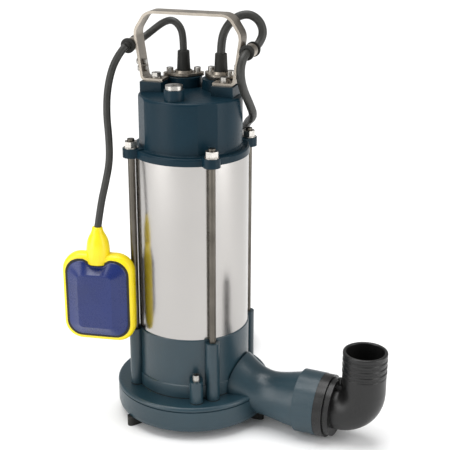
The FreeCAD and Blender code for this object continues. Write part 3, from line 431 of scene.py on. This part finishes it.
dress(black_plastic, "discharge_elbow", "lock_ring", "micro_switch", "terminal_block", "capacitor")
dress(pale_plastic, "ball_cage")
dress(ceramic, "seal_seat")
dress(copper, "end_windings")
dress(lamination, "stator_core", "rotor_core")
dress(raw_iron, "impeller")
dress(brass, "mains_plug_pins")

# %% [markdown]
# ## The float switch
# The float is a yellow frame with a necked cable entry, and on each side a blue face cut in flat facets
# inside a thin black seam. A cube with bevels would give the right width but the wrong light, because the
# real edges swell softly and the faces are cut in flat facets. Here closed rings of points are stacked
# one behind another and joined, so each ring's size and roundness draws one line of the moulding.

# %% Rings of points
CORNER_STEPS = 10
EDGE_STEPS = 18
SCALLOP_HALF = 16
NECK_STEPS = 48


def rounded_ring(depth, half, low, high, corner, dip=0.0):
    """A rounded rectangle, half its width to each side, at a depth; dip is how far a smooth scallop
    lowers the middle of its top edge."""
    points = []
    corners = ((half - corner, high - corner, 0), (corner - half, high - corner, 90),
               (corner - half, low + corner, 180), (half - corner, low + corner, 270))
    for index, (x, z, start) in enumerate(corners):
        for step in range(CORNER_STEPS):
            angle = math.radians(start + 90 * step / (CORNER_STEPS - 1))
            points.append((x + corner * math.cos(angle), z + corner * math.sin(angle)))
        next_x, next_z, next_start = corners[(index + 1) % 4]
        turn = math.radians(next_start)
        end = (next_x + corner * math.cos(turn), next_z + corner * math.sin(turn))
        first = points[-1]
        for step in range(1, EDGE_STEPS):
            part = step / EDGE_STEPS
            points.append((first[0] + (end[0] - first[0]) * part, first[1] + (end[1] - first[1]) * part))
    ring = []
    for x, z in points:
        near = max(0.0, 1 - (x / SCALLOP_HALF) ** 2) if z > (low + high) / 2 else 0.0
        ring.append((x, depth, z - dip * near * near * (3 - 2 * near)))
    return ring


def round_ring(height, radius):
    angles = [2 * math.pi * step / NECK_STEPS for step in range(NECK_STEPS)]
    return [(radius * math.cos(angle), radius * math.sin(angle), height) for angle in angles]


def stack(name, rings, place):
    """Joins rings of (x, y, z) points into one closed skin; place turns a point into the frame."""
    mesh = bmesh.new()
    rows = [[mesh.verts.new(place(*point)) for point in ring] for ring in rings]
    for low, high in zip(rows, rows[1:]):
        for index in range(len(low)):
            after = (index + 1) % len(low)
            mesh.faces.new((low[index], low[after], high[after], high[index]))
    mesh.faces.new(list(reversed(rows[0])))
    mesh.faces.new(rows[-1])
    bmesh.ops.recalc_face_normals(mesh, faces=mesh.faces)
    data = bpy.data.meshes.new(name)
    mesh.to_mesh(data)
    mesh.free()
    for face in data.polygons:
        face.use_smooth = True
    item = bpy.data.objects.new(name, data)
    bpy.context.scene.collection.objects.link(item)
    print(name, len(data.vertices), "points")
    return item


# %% Float frame, neck and faces
FLOAT_LOW = 104.6
FLOAT_TALL = 105.1
FLOAT_HALF = 41.75


def in_float(x, y, z):
    """A point in the float: x across its face, y away from the camera, z up from its underside."""
    return FLOAT_MIDDLE + turned(x, y, z + FLOAT_LOW, FLOAT_ANGLE)


# The frame's rim: depth from the middle, and how far the outline has drawn in there.
RIM = ((9.0, 5.2), (8.7, 3.6), (7.8, 2.0), (6.4, 0.9), (4.2, 0.2), (0.0, 0.0))
RIM_CORNER = 21
CORNER_LOSS = 0.6
rim_steps = [(-depth, inset) for depth, inset in RIM]
rim_steps += [(depth, inset) for depth, inset in reversed(RIM[:-1])]
float_case = stack("float_frame", [
    rounded_ring(depth, FLOAT_HALF - inset, inset, FLOAT_TALL - inset, RIM_CORNER - CORNER_LOSS * inset)
    for depth, inset in rim_steps], in_float)

# The neck: height above the frame's top, and radius.
NECK = ((-11.5, 12.6), (-11.2, 13.3), (-10, 13.6), (0, 13.5), (6, 13.2), (10, 12.8), (14, 12.1), (17, 11.2),
        (20, 9.8), (23, 8.2), (26, 6.9), (28.5, 6.2), (30.4, 5.8), (31, 5.2))
neck_rings = [round_ring(FLOAT_TALL + height, radius) for height, radius in NECK]
float_neck = stack("float_neck", neck_rings, in_float)

# A blue face: depth, half width, margin above and below, corner radius and scallop.
FACE = ((8.4, 34.6, 7.9, 16.6, 5.4), (9.6, 34.8, 7.7, 16.6, 5.4), (10.3, 34.3, 8.2, 16.2, 5.8),
        (10.6, 33.6, 8.9, 15.6, 6.4), (20.2, 20.6, 20.0, 5.6, 0), (20.8, 19.8, 20.8, 5, 0),
        (21.0, 18.9, 21.7, 4.4, 0))
# The black seam round it: depth, half width, half height and corner radius.
SEAM = ((8.6, 37.2, 47.2, 18), (9.4, 37.2, 47.2, 18), (9.7, 36.8, 46.8, 17.8), (9.7, 33.6, 43.6, 15.6))
SEAM_SCALLOP = 4.6
FACET_ANGLE = math.radians(22)
faces = []
seams = []
for name, side in (("front", -1), ("back", 1)):
    faces.append(stack(f"float_{name}_face", [
        rounded_ring(side * depth, half, margin, FLOAT_TALL - margin, corner, dip)
        for depth, half, margin, corner, dip in FACE], in_float))
    crease = faces[-1].modifiers.new("crisp facets", "EDGE_SPLIT")
    crease.split_angle = FACET_ANGLE
    seams.append(stack(f"float_{name}_seam", [
        rounded_ring(side * depth, half, FLOAT_TALL / 2 - tall, FLOAT_TALL / 2 + tall, corner, SEAM_SCALLOP)
        for depth, half, tall, corner in SEAM], in_float))

# %% Float colours
yellow = finish("float_yellow", (0.90, 0.70, 0.004), shade=0.04, rough=(0.25, 0.38), patch=25, grain=900,
                bump=0.05, depth=0.0002)
blue = finish("float_blue", (0.004, 0.016, 0.115), shade=0.12, rough=(0.22, 0.34), patch=25, grain=900,
              bump=0.05, depth=0.0002)
for pieces, material, node, slot in (((float_case, float_neck), yellow, "float_case", "float_yellow"),
                                     (faces, blue, "float_faces", "float_blue"),
                                     (seams, rubber, "float_faces", "float_blue")):
    for piece in pieces:
        piece.data.materials.append(material)
        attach(piece, "float")
        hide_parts(node)
    print(material.name, "on", len(pieces), "pieces of the float")

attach(hanging_cord, "float")
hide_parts("float_cord_hanging")
round(curve_length(hanging_cord), 3)
